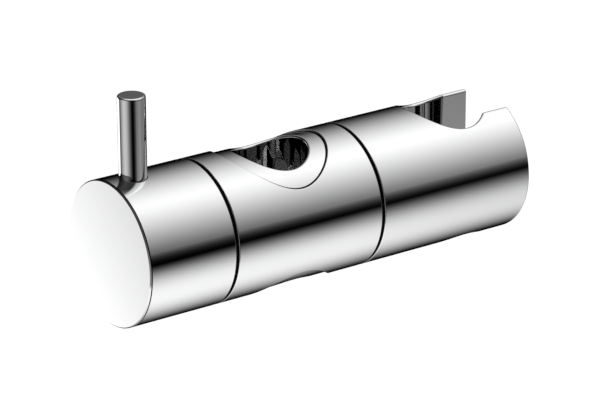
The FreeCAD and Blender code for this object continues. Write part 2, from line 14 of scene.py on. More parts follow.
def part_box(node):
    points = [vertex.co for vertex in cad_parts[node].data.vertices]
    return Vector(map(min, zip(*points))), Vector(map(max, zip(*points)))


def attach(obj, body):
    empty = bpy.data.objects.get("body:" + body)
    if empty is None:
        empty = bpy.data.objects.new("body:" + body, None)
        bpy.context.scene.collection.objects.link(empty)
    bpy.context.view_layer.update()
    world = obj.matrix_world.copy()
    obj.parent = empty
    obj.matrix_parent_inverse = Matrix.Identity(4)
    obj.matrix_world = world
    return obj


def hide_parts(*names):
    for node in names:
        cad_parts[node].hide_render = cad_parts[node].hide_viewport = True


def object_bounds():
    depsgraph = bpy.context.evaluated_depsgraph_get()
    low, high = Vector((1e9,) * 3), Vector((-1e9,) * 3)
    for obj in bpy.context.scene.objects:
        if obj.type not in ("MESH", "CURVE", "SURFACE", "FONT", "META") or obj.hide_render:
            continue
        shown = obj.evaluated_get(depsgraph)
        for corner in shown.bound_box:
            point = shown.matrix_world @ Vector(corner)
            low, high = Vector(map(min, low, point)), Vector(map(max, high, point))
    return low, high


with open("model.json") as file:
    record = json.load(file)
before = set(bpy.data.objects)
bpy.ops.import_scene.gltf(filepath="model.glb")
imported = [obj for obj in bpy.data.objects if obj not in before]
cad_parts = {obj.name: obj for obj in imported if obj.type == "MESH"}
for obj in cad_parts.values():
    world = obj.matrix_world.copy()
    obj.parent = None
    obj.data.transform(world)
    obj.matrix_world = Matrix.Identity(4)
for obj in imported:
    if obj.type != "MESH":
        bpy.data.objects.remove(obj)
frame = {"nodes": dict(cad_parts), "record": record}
cad_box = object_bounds()
nodes = frame["nodes"]

MM = 0.001

# Camera, fitted to the photograph.
CAMERA_PLACE = Vector((-0.48586, -0.69773, 0.33428))
CAMERA_AIM = Vector((0.00796, -0.00406, 0.00336))
CAMERA_ROLL = math.radians(-0.097)
CAMERA_LENS = 190.92
SENSOR_WIDTH = 36

# Floor: its drop below the part and its size in metres, its grey, its glow and the glow's share.
FLOOR_DROP = 0.15
FLOOR_SIZE = 6.0
FLOOR_GREY = 0.9
FLOOR_GLOW = 1.25
GLOW_SHARE = 0.75

# Materials: noise in cells a metre, bumps in metres deep, and by how much a tone or a roughness varies.
CHROME_TINT = (1.0, 1.002, 1.005)
POLISH_CLOUDS = 260.0
STAIN_CLOUDS = 120.0
STAIN_SHADE = 0.86
RING_SCALE = 900.0
RING_WOBBLE = 1.5
RING_SPREAD = 0.12
RING_DEPTH = 0.00001
MOTTLE_CLOUDS = 300.0
MOTTLE_PALE = 1.25
SHEEN_CLOUDS = 900.0
SHEEN_SPREAD = 0.15
GRAIN_DETAIL = 5.0
GRAIN_DEPTH = 0.00002

# Mesh fineness: steps round a turn, over a rolled edge, down a wall and along the shorter runs.
TURN_STEPS = 120
ROUND_STEPS = 6
WALL_STEPS = 12
HOLE_STEPS = 8
RING_STEPS = 6
WAY_ARC_STEPS = 12
WAY_FLAT_STEPS = 6
SOCKET_STEPS = 168
SLOT_STEPS = 4

# Points that fill unrolled walls, in millimetres: their spacing, room to an edge and greatest height.
SKIN_STEP = 2.5
SKIN_MARGIN = 0.5
FILL_HEIGHT = 18

# How close counts as one: digits of a millimetre, a length, an angle, and a point to triangulate.
WELD_DIGITS = 5
NEAR = 1e-6
NEAR_ANGLE = 1e-9
CDT_NEAR = 0.0002

# Start, as a share of the barrel's radius, and rounds of the search for the socket's upper and lower rim.
SOLVE_START = 0.8
SOLVE_STEPS = 60

# A piece's finishes, by their place in its list of materials: the plate first, then a dark chrome that
# paints shade into recesses, grooves, seams and hidden faces, then for the bush the rail bore's chrome,
# darkened as painted shade.
PLATED, RECESS_SHADE, BORE = 0, 1, 2


def edge_of(node, side, axis):
    """One coordinate of a CAD node's box, in millimetres; side 0 is its lowest and 1 its highest."""
    return round(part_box(node)[side][axis] / MM, 4)


# Sizes of the solids, in millimetres, read off their boxes where a box shows them.
BARREL = edge_of("body_barrel", 1, 1)
BODY_END = edge_of("body_barrel", 1, 0)
CAP_LEFT = edge_of("knob_end_cap", 0, 0)
KNOB_LEFT = edge_of("lever_knob", 0, 0)
KNOB_RIGHT = edge_of("lever_knob", 1, 0)
HOLDER_LEFT = edge_of("handset_holder", 0, 0)
HOLDER_END = edge_of("handset_holder", 1, 0)
PIN_TOP = edge_of("lever_pin", 1, 2)
PIN_LOW = edge_of("lever_pin", 0, 2)
PIN_RADIUS = edge_of("lever_pin", 1, 1)
PIN_AXIS = edge_of("lever_pin", 1, 0) - PIN_RADIUS
SEAT_LOW = BARREL - 2.0
STUD_RADIUS = 2.5
STUD_ROOM = 0.1
PRESS_ROOM = 0.05
HUB_LEFT = -38.4
HUB_RIGHT = -30.0
HUB_RADIUS = 10.0
WEB_RIGHT = -35.4
KNOB_HOLLOW = BARREL - 3.25
ACCESS_RADIUS = 7.5
DRIVE_HEX = 10.1
SKIRT_RADIUS = 17.0
SKIRT_INSIDE = 15.0
SKIRT_LEN = 3.5
BUSH_RADIUS = edge_of("rail_bush", 1, 1)
BORE_RADIUS = 11.1
BUSH_ENDS = BARREL - 0.6
BODY_HOLE = BUSH_RADIUS + PRESS_ROOM
SEAM_GAP = 0.4
SEAM_DEPTH = 1.2
WAY_ROUND = 6.3
WAY_FLAT = 4.8
CHAMBER_FLOOR = -19.0
CHAMBER_RADIUS = 10.1
SPINDLE_SEAT = 13.05
SPINDLE_HOLE = 8.1
SPINDLE_DEPTH = 2.4
SOCKET_AXIS = 61.9
SOCKET_MIDDLE = 11.9
SOCKET_SLOPE = 1.0 / (2 * BARREL)
SLOT_HALF = 9.2
WELL_RADIUS = 8.0
SHOULDER_LEFT = 38.0
SHOULDER_RIGHT = 40.0
PILOT_HOLE = 5.05
JOURNAL_HOLE = 9.05
HOLLOW_INSIDE = 12.0
HOLLOW_OUTSIDE = BARREL - 3.5
HOLLOW_DEPTH = 9.5

# Where the even columns of the socket's rim begin, as an angle from +X, and where the slot's end, along X.
SOCKET_FIRST = math.radians(54)
SLOT_LAST = 71.5

# Rounded and bevelled edges, in millimetres.
SECTION_ROUND = 0.25
CAP_BEVEL = 0.34
CAP_SEAM_WIDTH = 0.42
CAP_SEAM_DEPTH = 0.3
PIN_ROUND = 0.6
HOLE_ROUND = 0.3
BUSH_RIM_ROUND = 0.15
BORE_ROUND = 0.7
SEAT_ROUND = 0.15
KEYHOLE_ROUND = 0.75
OPEN_END_ROUND = 0.5


class Nodes:
    """Short calls that add nodes to one node tree and link them."""

    def __init__(self, tree):
        self.tree = tree
        tree.nodes.clear()

    def add(self, kind, **settings):
        """Add a node and set its properties."""
        node = self.tree.nodes.new(kind)
        for name, value in settings.items():
            setattr(node, name, value)
        return node

    def feed(self, node, slot, value):
        """Put a number, a colour or another node's output into one input."""
        if isinstance(value, bpy.types.NodeSocket):
            self.tree.links.new(value, node.inputs[slot])
        else:
            node.inputs[slot].default_value = value

    def math(self, operation, *values, clamp=False):
        """One math node; the result is its output."""
        node = self.add("ShaderNodeMath", operation=operation, use_clamp=clamp)
        for slot, value in enumerate(values):
            self.feed(node, slot, value)
        return node.outputs[0]

    def line(self, value, slope, start, clamp=False):
        """value times slope plus start."""
        return self.math("MULTIPLY_ADD", value, slope, start, clamp=clamp)

    def mix(self, share, first, second):
        """Blend two numbers."""
        node = self.add("ShaderNodeMix", data_type="FLOAT")
        self.feed(node, 0, share)
        self.feed(node, 2, first)
        self.feed(node, 3, second)
        return node.outputs[0]

    def tint(self, share, first, second):
        """Blend two colours."""
        node = self.add("ShaderNodeMix", data_type="RGBA")
        self.feed(node, 0, share)
        self.feed(node, 6, first)
        self.feed(node, 7, second)
        return node.outputs[2]

    def dot(self, vector, direction):
        """Dot product of a vector output with a fixed direction."""
        node = self.add("ShaderNodeVectorMath", operation="DOT_PRODUCT")
        self.feed(node, 0, vector)
        self.feed(node, 1, direction)
        return node.outputs["Value"]


def heading(azimuth, elevation):
    """Unit vector: azimuth 0 looks from the part to the viewer's side, -Y, and 90 towards +X."""
    turn, rise = math.radians(azimuth), math.radians(elevation)
    return Vector((math.sin(turn) * math.cos(rise), -math.cos(turn) * math.cos(rise), math.sin(rise)))


def place_camera():
    """Camera at the photograph's viewpoint."""
    data = bpy.data.cameras.new("camera")
    data.lens = CAMERA_LENS
    data.sensor_width = SENSOR_WIDTH
    data.clip_end = FLOOR_SIZE * 2
    camera = bpy.data.objects.new("camera", data)
    bpy.context.scene.collection.objects.link(camera)
    aim = (CAMERA_AIM - CAMERA_PLACE).to_track_quat("-Z", "Y").to_matrix().to_4x4()
    camera.matrix_world = Matrix.Translation(CAMERA_PLACE) @ aim @ Matrix.Rotation(CAMERA_ROLL, 4, "Z")
    bpy.context.scene.camera = camera


# What a mirror sees, as display greys from 0 to 1, where 1 is white.
# Two long soft lights lie by an angle in degrees round the barrel's axis: 0 is the viewer's side, 90 is up
# and -90 down. Each has its middle, its grey there, and for its lower and its upper side the reach, the bend
# of its fall, the grey left at the end and the width of the soft end.
UPPER_LIGHT = (84, 1.0, (92.5, 1.55, 0.20, 18), (99, 1.6, 0.0, 1))
LOWER_LIGHT = (-68, 0.935, (67, 1.8, 0.0, 1), (60, 2.9, 0.0, 1))
GREY_SCALE = 1.02

# Over a narrow band along X the tones drift: by how much level with the barrel, what a higher and a lower
# direction change in that, and its least.
DRIFT_MIDDLE = 0.535
DRIFT_HALF = 0.044
DRIFT = 24 / 255
DRIFT_UP = -17 / 255
DRIFT_DOWN = 95 / 255
DRIFT_LEAST = -16 / 255

# The room is dark on the left, by X: where it is darkest and over what width it clears. A faint glow rises
# above the horizon up to a limit, and low down and high up the lights open again.
LEFT_DARK = -0.34
LEFT_WIDTH = 0.45
LEFT_GLOW = 0.25
GLOW_RISE = 2.5
OPEN_RISE = 6.0
OPEN_LOW = -2.5 / 6
OPEN_HIGH = 4.3 / 6

# It dims to the right: from where, how fast and down to what share, above and below the horizon.
DIM_ABOVE = (0.65, 1.4, 0.65)
DIM_BELOW = (0.55, 1.45, 0.55)
HORIZON_RISE = 6.0

# A soft lobe low on the left lights the pin. A pale round card lights the end disc: its reach and soft edge
# are in degrees, and its grey rises along another heading up to a peak.
LOBE_HEADING = (-93, -20)
LOBE_SPREAD = 1.5
LOBE_GREY = 200 / 255
CARD_HEADING = (-166, -21)
CARD_REACH = 23
CARD_SOFT = 3
CARD_SLOPE_HEADING = (112.26, -21.89)
CARD_SLOPE = 5.717
CARD_GREY = 0.955
CARD_PEAK = 1.15

# From a display grey to the light that gives it.
GREY_OFFSET = 0.055
GREY_POWER = 2.4


def soft_light(net, angle, middle, peak, below, above):
    """Grey of one long light, round its middle."""
    far = net.line(angle, 1.0, -math.radians(middle))
    falls = []
    for reach, bend, rest, end in (below, above):
        share = net.math("MINIMUM", net.math("ABSOLUTE", net.line(far, 1 / math.radians(reach), 0.0)), 1.0)
        fall = net.line(net.math("POWER", share, bend), -peak * (1 - rest), peak)
        falls.append(net.math("MULTIPLY", fall, net.line(share, -reach / end, reach / end, clamp=True)))
    return net.mix(net.math("GREATER_THAN", far, 0.0), *falls)


def drift(net, along, angle):
    """What the tones gain or lose along the barrel."""
    rise = net.math("SINE", angle)
    gain = net.math("MINIMUM", net.line(rise, DRIFT_UP, DRIFT), net.line(rise, DRIFT_DOWN, DRIFT))
    gain = net.math("MAXIMUM", gain, DRIFT_LEAST)
    share = net.line(along, 0.5 / DRIFT_HALF, -0.5 * DRIFT_MIDDLE / DRIFT_HALF)
    return net.math("MULTIPLY", gain, net.math("MINIMUM", net.math("MAXIMUM", share, -0.5), 0.5))


def left_share(net, along, height):
    """How much of the lights is left on the dark side of the room."""
    share = net.line(along, 1 / LEFT_WIDTH, -LEFT_DARK / LEFT_WIDTH, clamp=True)
    share = net.math("MAXIMUM", share, net.math("MINIMUM", net.line(height, GLOW_RISE, 0.0), LEFT_GLOW))
    low = net.line(height, -OPEN_RISE, OPEN_RISE * OPEN_LOW, clamp=True)
    high = net.line(height, OPEN_RISE, -OPEN_RISE * OPEN_HIGH, clamp=True)
    return net.mix(net.math("MAXIMUM", low, high), share, 1.0)


def right_share(net, along, height):
    """How much of the lights is left towards the other side."""
    shares = []
    for start, slope, least in (DIM_ABOVE, DIM_BELOW):
        shares.append(net.math("MAXIMUM", net.line(along, -slope, 1 + slope * start, clamp=True), least))
    return net.mix(net.line(height, -HORIZON_RISE, 0.0, clamp=True), *shares)


def angle_from(net, direction, place):
    """Angle between a direction and a fixed heading."""
    return net.math("ARCCOSINE", net.dot(direction, heading(*place)))


def studio_grey(net, direction):
    """Display grey that a mirror sees in a direction."""
    parts = net.add("ShaderNodeSeparateXYZ")
    net.feed(parts, 0, direction)
    along, depth, height = parts.outputs
    angle = net.math("ARCTAN2", height, net.math("MULTIPLY", depth, -1.0))
    grey = net.math("MAXIMUM", soft_light(net, angle, *UPPER_LIGHT), soft_light(net, angle, *LOWER_LIGHT))
    grey = net.math("ADD", grey, drift(net, along, angle))
    grey = net.math("MULTIPLY", grey, net.math("MULTIPLY", left_share(net, along, height),
                                               right_share(net, along, height)))
    spread = net.math("MULTIPLY", angle_from(net, direction, LOBE_HEADING), LOBE_SPREAD)
    lobe = net.math("COSINE", net.math("MINIMUM", spread, math.pi / 2))
    grey = net.math("MAXIMUM", grey, net.math("MULTIPLY", lobe, LOBE_GREY))
    card = net.line(net.dot(direction, heading(*CARD_SLOPE_HEADING)), CARD_SLOPE, CARD_GREY)
    card = net.math("MINIMUM", net.math("MAXIMUM", card, 0.0), CARD_PEAK)
    shape = net.line(angle_from(net, direction, CARD_HEADING), -1 / math.radians(CARD_SOFT),
                     CARD_REACH / CARD_SOFT, clamp=True)
    return net.math("MAXIMUM", grey, net.math("MULTIPLY", card, shape))


def make_world():
    """White to the camera; to all else a soft studio, dark at the horizon and pale above and below."""
    world = bpy.data.worlds.new("studio")
    world.use_nodes = True
    net = Nodes(world.node_tree)
    direction = net.add("ShaderNodeTexCoord").outputs["Generated"]
    grey = net.math("MULTIPLY", studio_grey(net, direction), GREY_SCALE)
    whole = 1 + GREY_OFFSET
    shown = net.math("POWER", net.line(grey, 1 / whole, GREY_OFFSET / whole), GREY_POWER)
    strength = net.mix(net.add("ShaderNodeLightPath").outputs["Is Camera Ray"], shown, 1.0)
    background = net.add("ShaderNodeBackground")
    net.feed(background, "Color", (1, 1, 1, 1))
    net.feed(background, "Strength", strength)
    output = net.add("ShaderNodeOutputWorld")
    net.feed(output, "Surface", background.outputs[0])
    bpy.context.scene.world = world


def new_material(name):
    """Empty material with a Principled shader; returns the material, its nodes and the shader."""
    material = bpy.data.materials.new(name)
    material.use_nodes = True
    net = Nodes(material.node_tree)
    shader = net.add("ShaderNodeBsdfPrincipled")
    output = net.add("ShaderNodeOutputMaterial")
    net.feed(output, "Surface", shader.outputs[0])
    return material, net, shader


def cloud(net, scale, detail=3.0):
    """Soft noise over the object, 0 to 1; the scale is in cells a metre."""
    node = net.add("ShaderNodeTexNoise")
    net.feed(node, "Vector", net.add("ShaderNodeTexCoord").outputs["Object"])
    net.feed(node, "Scale", scale)
    net.feed(node, "Detail", detail)
    return node.outputs["Fac"]


def bumped(net, shader, height, depth):
    """Bump from a height between 0 and 1; the depth is in metres."""
    node = net.add("ShaderNodeBump")
    net.feed(node, "Height", height)
    net.feed(node, "Distance", depth)
    net.feed(shader, "Normal", node.outputs[0])


def chrome(name, grey, low, high):
    """Chrome plate; the polish varies between two roughnesses."""
    material, net, shader = new_material(name)
    net.feed(shader, "Base Color", (*(grey * tint for tint in CHROME_TINT), 1))
    net.feed(shader, "Metallic", 1.0)
    net.feed(shader, "Roughness", net.mix(cloud(net, POLISH_CLOUDS), low, high))
    return material


def machined(name, colour, roughness):
    """Turned metal: fine rings round the barrel's axis and a slow change of tone."""
    material, net, shader = new_material(name)
    rings = net.add("ShaderNodeTexWave", wave_type="BANDS", bands_direction="X")
    net.feed(rings, "Vector", net.add("ShaderNodeTexCoord").outputs["Object"])
    net.feed(rings, "Scale", RING_SCALE)
    net.feed(rings, "Distortion", RING_WOBBLE)
    dark = tuple(value * STAIN_SHADE for value in colour)
    net.feed(shader, "Base Color", net.tint(cloud(net, STAIN_CLOUDS), (*dark, 1), (*colour, 1)))
    net.feed(shader, "Metallic", 1.0)
    net.feed(shader, "Roughness", net.mix(rings.outputs["Fac"], roughness, roughness + RING_SPREAD))
    bumped(net, shader, rings.outputs["Fac"], RING_DEPTH)
    return material


def moulded(name, colour, roughness, grain):
    """Moulded plastic or rubber: faint mottling and a fine grain."""
    material, net, shader = new_material(name)
    pale = tuple(value * MOTTLE_PALE for value in colour)
    net.feed(shader, "Base Color", net.tint(cloud(net, MOTTLE_CLOUDS), (*colour, 1), (*pale, 1)))
    net.feed(shader, "Roughness", net.mix(cloud(net, SHEEN_CLOUDS), roughness, roughness + SHEEN_SPREAD))
    bumped(net, shader, cloud(net, grain, GRAIN_DETAIL), GRAIN_DEPTH)
    return material


def floor():
    """Pale floor below the part; mirrors see the studio instead of it."""
    mesh = bpy.data.meshes.new("floor")
    half = FLOOR_SIZE / 2
    low = cad_box[0][2] - FLOOR_DROP
    corners = [(-half, -half, low), (half, -half, low), (half, half, low), (-half, half, low)]
    mesh.from_pydata(corners, [], [(0, 1, 2, 3)])
    item = bpy.data.objects.new("floor", mesh)
    bpy.context.scene.collection.objects.link(item)
    material = bpy.data.materials.new("floor_white")
    material.use_nodes = True
    net = Nodes(material.node_tree)
    matte = net.add("ShaderNodeBsdfDiffuse")
    net.feed(matte, "Color", (FLOOR_GREY, FLOOR_GREY, FLOOR_GREY, 1))
    glow = net.add("ShaderNodeEmission")
    net.feed(glow, "Color", (1, 1, 1, 1))
    net.feed(glow, "Strength", FLOOR_GLOW)
    clear = net.add("ShaderNodeBsdfTransparent")
    path = net.add("ShaderNodeLightPath")
    lit = net.add("ShaderNodeMixShader")
    net.feed(lit, 0, GLOW_SHARE)
    net.feed(lit, 1, matte.outputs[0])
    net.feed(lit, 2, glow.outputs[0])
    seen = net.add("ShaderNodeMixShader")
    net.feed(seen, 0, path.outputs["Is Camera Ray"])
    net.feed(seen, 1, clear.outputs[0])
    net.feed(seen, 2, lit.outputs[0])
    output = net.add("ShaderNodeOutputMaterial")
    net.feed(output, "Surface", seen.outputs[0])
    mesh.materials.append(material)


def unit(vector):
    """The vector at length one."""
    size = math.sqrt(sum(value * value for value in vector))
    return tuple(value / size for value in vector)


def turned_between(first, second, share):
    """Unit vector on the arc between two unit vectors."""
    cosine = max(-1.0, min(1.0, sum(a * b for a, b in zip(first, second))))
    angle = math.acos(cosine)
    if angle < NEAR_ANGLE:
        return first
    start, end = math.sin((1 - share) * angle), math.sin(share * angle)
    return unit(tuple(a * start + b * end for a, b in zip(first, second)))


def moved(point, direction, distance):
    """The point moved along a direction."""
    return tuple(value + step * distance for value, step in zip(point, direction))


def spaced(start, end, count):
    """Numbers at even steps, both ends included."""
    return [start + (end - start) * step / count for step in range(count + 1)]


class Skin:
    """Collects the faces of one piece; points in millimetres, a normal for each corner."""

    def __init__(self):
        self.numbers = {}
        self.points = []
        self.faces = []
        self.normals = []
        self.finishes = []

    def number(self, point):
        """The point's number; points in one place share it."""
        key = tuple(round(value, WELD_DIGITS) for value in point)
        if key not in self.numbers:
            self.numbers[key] = len(self.points)
            self.points.append(point)
        return self.numbers[key]

    def face(self, corners, finish):
        """Add a face of (point, normal) corners, wound so that it faces the way of its normals."""
        kept = []
        for point, normal in corners:
            number = self.number(point)
            if all(number != other for other, _ in kept):
                kept.append((number, normal))
        if len(kept) < 3:
            return
        places = [self.points[number] for number, _ in kept]
        front = [0.0, 0.0, 0.0]
        for one, two in zip(places, places[1:] + places[:1]):
            for axis in range(3):
                after, last = (axis + 1) % 3, (axis + 2) % 3
                front[axis] += (one[after] - two[after]) * (one[last] + two[last])
        mean = [sum(normal[axis] for _, normal in kept) for axis in range(3)]
        if sum(a * b for a, b in zip(front, mean)) < 0:
            kept.reverse()
        self.faces.append([number for number, _ in kept])
        self.normals.extend(normal for _, normal in kept)
        self.finishes.append(finish)

    def sheet(self, rows, finish=PLATED, closed=False):
        """Faces between rows of (point, normal)."""
        for upper, lower in zip(rows, rows[1:]):
            count = len(upper)
            for step in range(count if closed else count - 1):
                after = (step + 1) % count
                self.face((upper[step], upper[after], lower[after], lower[step]), finish)

    def patch(self, loops, fill, lift, finish=PLATED):
        """Triangles inside flat loops, an outer one and its holes, lifted from (u, v) to (point, normal)."""
        flat = [point for loop in loops for point in loop]
        start, edges = 0, []
        for loop in loops:
            edges += [(start + step, start + (step + 1) % len(loop)) for step in range(len(loop))]
            start += len(loop)
        rims = np.array(flat)
        for point in fill:
            if np.hypot(*(rims - point).T).min() > SKIN_MARGIN and within(loops, point):
                flat.append(point)
        found = delaunay_2d_cdt([Vector(point) for point in flat], edges, [], 0, CDT_NEAR)
        origin = [numbers[0] for numbers in found[3]]
        for triangle in found[2]:
            corners = [flat[origin[number]] for number in triangle]
            middle = tuple(sum(values) / 3 for values in zip(*corners))
            if within(loops, middle):
                self.face([lift(*corner) for corner in corners], finish)

    def lathe(self, outline, place):
        """Turn an outline of (along, radius, rounding, finish) corners, material to the right of its way."""
        starts, ends, normals = [], [], []
        for one, two in zip(outline, outline[1:]):
            way = unit((two[0] - one[0], two[1] - one[1]))
            starts.append(one[:2])
            ends.append(two[:2])
            normals.append((-way[1], way[0]))
        for after, (*point, size, _) in enumerate(outline[1:-1], start=1):
            if size:
                before = after - 1
                way = (normals[before][1], -normals[before][0])
                ahead = (normals[after][1], -normals[after][0])
                turn = math.acos(max(-1.0, min(1.0, way[0] * ahead[0] + way[1] * ahead[1])))
                reach = size * math.tan(turn / 2)
                ends[before] = moved(point, way, -reach)
                starts[after] = moved(point, ahead, reach)
                centre = moved(ends[before], normals[before], -size)
                arc = rolled(centre, normals[before], normals[after], size)
                self.strip([(*spot, *normal) for spot, normal in arc], place, PLATED)
        for start, end, normal, corner in zip(starts, ends, normals, outline):
            if math.dist(start, end) > NEAR:
                self.strip([(*start, *normal), (*end, *normal)], place, corner[3])

    def strip(self, rows, place, finish):
        """Turn rows of (along, radius, normal along, normal outwards)."""
        self.sheet([[place(*row, turn) for turn in ring_angles()] for row in rows], finish, closed=True)

    def build(self, node, body, slot, finishes):
        """Make the object, which stands for a CAD node."""
        mesh = bpy.data.meshes.new(f"{node}_skin")
        mesh.from_pydata([tuple(value * MM for value in point) for point in self.points], [], self.faces)
        mesh.polygons.foreach_set("use_smooth", [True] * len(self.faces))
        for finish in finishes:
            mesh.materials.append(finish)
        mesh.polygons.foreach_set("material_index", self.finishes)
        mesh.normals_split_custom_set(self.normals)
        item = bpy.data.objects.new(f"{node}_skin", mesh)
        bpy.context.scene.collection.objects.link(item)
        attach(item, body)
        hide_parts(node)


def within(loops, point):
    """True where a point lies inside an odd number of loops."""
    crossings = 0
    for loop in loops:
        one = np.array(loop)
        two = np.roll(one, -1, axis=0)
        across = (one[:, 1] > point[1]) != (two[:, 1] > point[1])
        one, two = one[across], two[across]
        where = one[:, 0] + (point[1] - one[:, 1]) / (two[:, 1] - one[:, 1]) * (two[:, 0] - one[:, 0])
        crossings += int((where > point[0]).sum())
    return crossings % 2 == 1


def about_x(along, radius, lean, out, turn):
    """Place a turned point about the X axis; turn is measured from the top."""
    side, high = math.sin(turn), math.cos(turn)
    return (along, radius * side, radius * high), (lean, out * side, out * high)


def about_pin(along, radius, lean, out, turn):
    """Place a turned point about the lever pin's axis."""
    ahead, side = math.cos(turn), math.sin(turn)
    return (PIN_AXIS + radius * ahead, radius * side, along), (out * ahead, out * side, lean)


def ring_angles():
    """Angles of the turned pieces' steps."""
    return [math.tau * step / TURN_STEPS for step in range(TURN_STEPS)]


def hole_rim(axis, radius, shell, size, up, inward=True):
    """Rolled edge where an upright round wall meets a shell about X: columns from the shell to the wall."""
    columns = []
    for angle in ring_angles():
        ahead, side = math.cos(angle), math.sin(angle)
        reach = radius + size if inward else radius - size
        depth, height = reach * side, up * math.sqrt((shell - size) ** 2 - (reach * side) ** 2)
        centre = (axis + reach * ahead, depth, height)
        outward = unit((0.0, depth, height))
        wall = (-ahead, -side, 0.0) if inward else (ahead, side, 0.0)
        columns.append(rolled(centre, outward, wall, size))
    return columns


def rolled(centre, first, last, size):
    """Arc of (point, normal) about a centre, from one normal to another."""
    arc = [turned_between(first, last, share) for share in spaced(0, 1, ROUND_STEPS)]
    return [(moved(centre, normal, size), normal) for normal in arc]


def half_shell(skin, start, end, up, contour=None, cut=None):
    """Upper or lower half of a barrel section, unrolled to (x, arc length), with a hole or an open cut."""
    quarter = BARREL * math.pi / 2
    sides = spaced(-math.pi / 2, math.pi / 2, TURN_STEPS // 2)
    count = max(2, round((end - start) / SKIN_STEP))
    along = spaced(start, end, count)
    loop = [(x, -quarter) for x in along[:-1]]
    if cut:
        span = abs(cut[0][1])
        loop += [(end, BARREL * side) for side in sides if BARREL * side < -span - SKIN_MARGIN / 2]
        loop += cut
        loop += [(end, BARREL * side) for side in sides if BARREL * side > span + SKIN_MARGIN / 2]
    else:
        loop += [(end, BARREL * side) for side in sides]
    loop += [(x, quarter) for x in reversed(along[:-1])]
    loop += [(start, BARREL * side) for side in reversed(sides[1:-1])]
    loops = [loop] + ([contour] if contour else [])

    def lift(x, arc):
        side, high = math.sin(arc / BARREL), up * math.cos(arc / BARREL)
        return (x, BARREL * side, BARREL * high), (0.0, side, high)

    fill = [(x, BARREL * side) for x in along[1:-1] for side in sides[1:-1]]
    skin.patch(loops, fill, lift)


def unrolled(columns):
    """Where a rim's first points lie on the unrolled shell."""
    return [(x, BARREL * math.atan2(y, abs(z))) for (x, y, z), _ in (column[0] for column in columns)]


def rows_of(columns):
    """Rows from columns."""
    return [list(row) for row in zip(*columns)]


def way_outline():
    """Outline of the plunger's way as runs of (y, z, normal y, normal z), normals into the opening."""
    corner = math.sqrt(WAY_ROUND ** 2 - WAY_FLAT ** 2)
    lean = math.atan2(corner, WAY_FLAT)
    runs = []
    for side in (1, -1):
        arc = spaced(lean, math.pi - lean, WAY_ARC_STEPS)
        runs.append([(side * WAY_ROUND * math.sin(a), side * WAY_ROUND * math.cos(a),
                      -side * math.sin(a), -side * math.cos(a)) for a in arc])
        flat = spaced(corner, -corner, WAY_FLAT_STEPS)
        runs.append([(side * y, -side * WAY_FLAT, 0.0, float(side)) for y in flat])
    return runs


def way_loop():
    """The outline's points once each."""
    return [corner[:2] for run in way_outline() for corner in run[:-1]]


def upright_wall(skin, radius, rims, inward, finish, holes):
    """Upright round wall between an upper and a lower rim, with round holes towards -X or +X."""
    turn = math.pi / 2
    upper = [column[-1][0][2] for column in rims[0]]
    lower = [column[-1][0][2] for column in rims[1]]
    quarter = TURN_STEPS // 4
    order = [(quarter + step) % TURN_STEPS for step in range(TURN_STEPS)] + [quarter]
    angles = [turn + math.tau * step / TURN_STEPS for step in range(TURN_STEPS + 1)]
    seam = spaced(lower[quarter], upper[quarter], HOLE_STEPS)[1:-1]
    loop = [(radius * angle, lower[index]) for angle, index in zip(angles, order)]
    loop += [(radius * angles[-1], z) for z in seam]
    loop += [(radius * angle, upper[index]) for angle, index in zip(reversed(angles), reversed(order))]
    loop += [(radius * angles[0], z) for z in reversed(seam)]
    loops = [loop]
    for side, hole in holes:
        start = math.pi if side < 0 else math.tau
        loops.append([(radius * (start + side * math.asin(y / radius)), z) for y, z in hole])
    face = -1.0 if inward else 1.0

    def lift(arc, z):
        ahead, side = math.cos(arc / radius), math.sin(arc / radius)
        return (radius * ahead, radius * side, z), (face * ahead, face * side, 0.0)

    heights = spaced(-FILL_HEIGHT, FILL_HEIGHT, HOLE_STEPS)
    fill = [(radius * angle, z) for angle in angles[1:-1:2] for z in heights]
    skin.patch(loops, fill, lift, finish)


def channel(skin, runs, near, far, finish):
    """Straight walls along X over an outline; near and far give x from y and z."""
    for run in runs:
        rows = [[((place(y, z), y, z), (0.0, lean, rise)) for y, z, lean, rise in run]
                for place in (near, far)]
        skin.sheet(rows, finish)


def circle_runs(radius):
    """A round outline about the X axis as one run with normals into the opening."""
    angles = ring_angles() + [0.0]
    return [[(radius * math.sin(a), radius * math.cos(a), -math.sin(a), -math.cos(a)) for a in angles]]


def on_cylinder(radius, side):
    """x of an upright cylinder's wall from y."""
    return lambda y, z: side * math.sqrt(radius ** 2 - y ** 2)


def flat_face(skin, x, loops, side, finish):
    """Flat face across X inside loops of (y, z)."""
    skin.patch(loops, [], lambda y, z: ((x, y, z), (side, 0.0, 0.0)), finish)


def circle(radius):
    """Loop about the X axis on the turned pieces' steps."""
    return [(radius * math.sin(a), radius * math.cos(a)) for a in ring_angles()]


